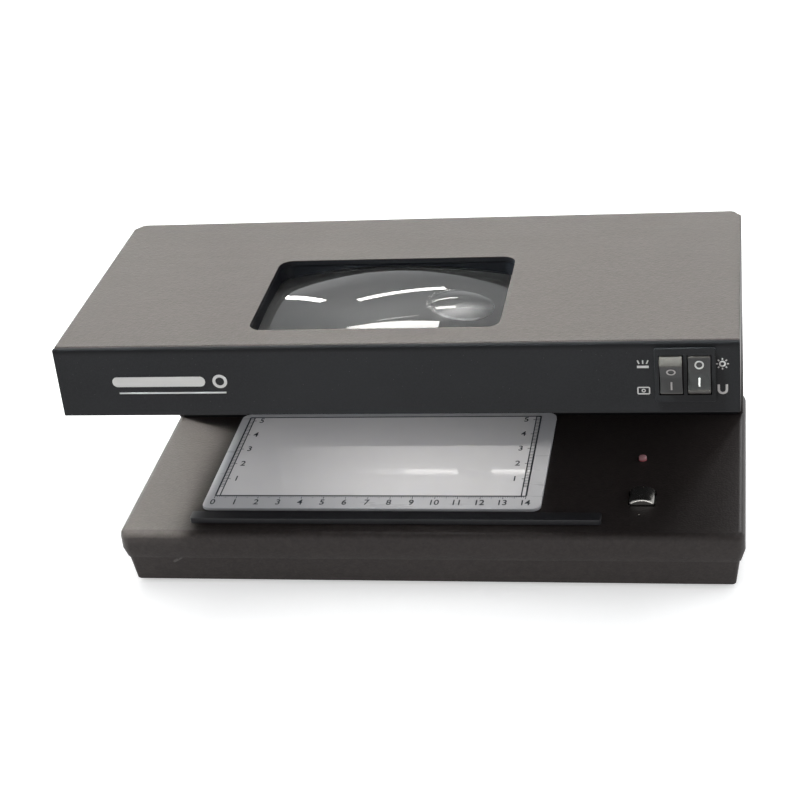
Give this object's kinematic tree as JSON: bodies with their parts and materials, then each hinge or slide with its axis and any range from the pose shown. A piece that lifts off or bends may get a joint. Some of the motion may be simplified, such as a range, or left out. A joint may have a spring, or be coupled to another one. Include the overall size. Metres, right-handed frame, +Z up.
{
  "type": "banknote tester",
  "caption": "Desktop banknote and document tester: a magnifier and ultraviolet lamps in an overhanging head above a lit base plate with a scale, a magnetic sensor and twin rocker switches",
  "frame": {"origin": "middle of the footprint, on the surface that the feet stand on", "axes": "+X along the width, to the right of a person facing the fascia; -Y is the side of the fascia; +Z up"},
  "size_m": [0.272, 0.1642, 0.1365],
  "materials": {
    "housing": "fine-grained dark grey moulding, satin at a low angle",
    "fascia_black": "matt black moulding",
    "switch_black": "satin black moulding with white marks",
    "lens_clear": "clear polished acrylic",
    "plate_opal": "opal acrylic, satin face",
    "lamp_glass": "coated lamp glass",
    "nickel": "nickel plate",
    "screw_steel": "zinc-plated steel",
    "reflector_white": "white stoved paint",
    "holder_white": "white moulding",
    "board_green": "lacquered circuit board",
    "winding_yellow": "tape-wrapped winding",
    "capacitor_sleeve": "shrink sleeve",
    "indicator_red": "red diffused lens",
    "foot_rubber": "matt black rubber",
    "cable_black": "black sleeving"
  },
  "bodies": {
    "body": {"amplifier_board": "board_green", "base_screw_1": "screw_steel", "base_screw_2": "screw_steel", "base_screw_3": "screw_steel", "base_screw_4": "screw_steel", "base_top_cover": "housing", "base_tray": "housing", "buzzer": "switch_black", "column_screw_left": "screw_steel", "column_screw_right": "screw_steel", "foot_front_left": "foot_rubber", "foot_front_right": "foot_rubber", "foot_rear_left": "foot_rubber", "foot_rear_right": "foot_rubber", "front_fascia": "fascia_black", "head_bottom_cover": "fascia_black", "head_screw_left": "screw_steel", "head_screw_right": "screw_steel", "inlet_pin_left": "nickel", "inlet_pin_right": "nickel", "inner_back_panel": "fascia_black", "lens_frame": "fascia_black", "lens_retainer": "fascia_black", "light_plate": "plate_opal", "magnetic_bracket": "holder_white", "magnetic_head": "nickel", "magnifier_lens": "lens_clear", "mains_inlet": "switch_black", "power_board": "board_green", "status_led": "indicator_red", "stop_rail": "fascia_black", "supply_capacitor": "capacitor_sleeve", "supply_transformer": "winding_yellow", "switch_body": "switch_black", "switch_terminal_1": "nickel", "switch_terminal_2": "nickel", "switch_terminal_3": "nickel", "switch_terminal_4": "nickel", "upper_shell": "housing", "uv_ballast_board": "board_green", "uv_choke": "winding_yellow", "uv_lampholder_left": "holder_white", "uv_lampholder_right": "holder_white", "uv_reflector": "reflector_white", "uv_tube_front": "lamp_glass", "uv_tube_front_cap_left": "nickel", "uv_tube_front_cap_right": "nickel", "uv_tube_rear": "lamp_glass", "uv_tube_rear_cap_left": "nickel", "uv_tube_rear_cap_right": "nickel", "white_lampholder_left": "holder_white", "white_lampholder_right": "holder_white", "white_reflector": "reflector_white", "white_tube": "lamp_glass", "white_tube_cap_left": "nickel", "white_tube_cap_right": "nickel", "wiring_loom": "cable_black"},
    "uv_switch": {"uv_rocker": "switch_black"},
    "light_switch": {"light_rocker": "switch_black"}
  },
  "joints": [
    {"name": "uv_rocker_tilt", "type": "hinge", "parent": "body", "child": "uv_switch", "pos_m": [0.10928, -0.07469, 0.12335], "axis": [-1, 0, 0], "range_deg": [0, 24]},
    {"name": "light_rocker_tilt", "type": "hinge", "parent": "body", "child": "light_switch", "pos_m": [0.11982, -0.07469, 0.12335], "axis": [1, 0, 0], "range_deg": [0, 24]}
  ]
}
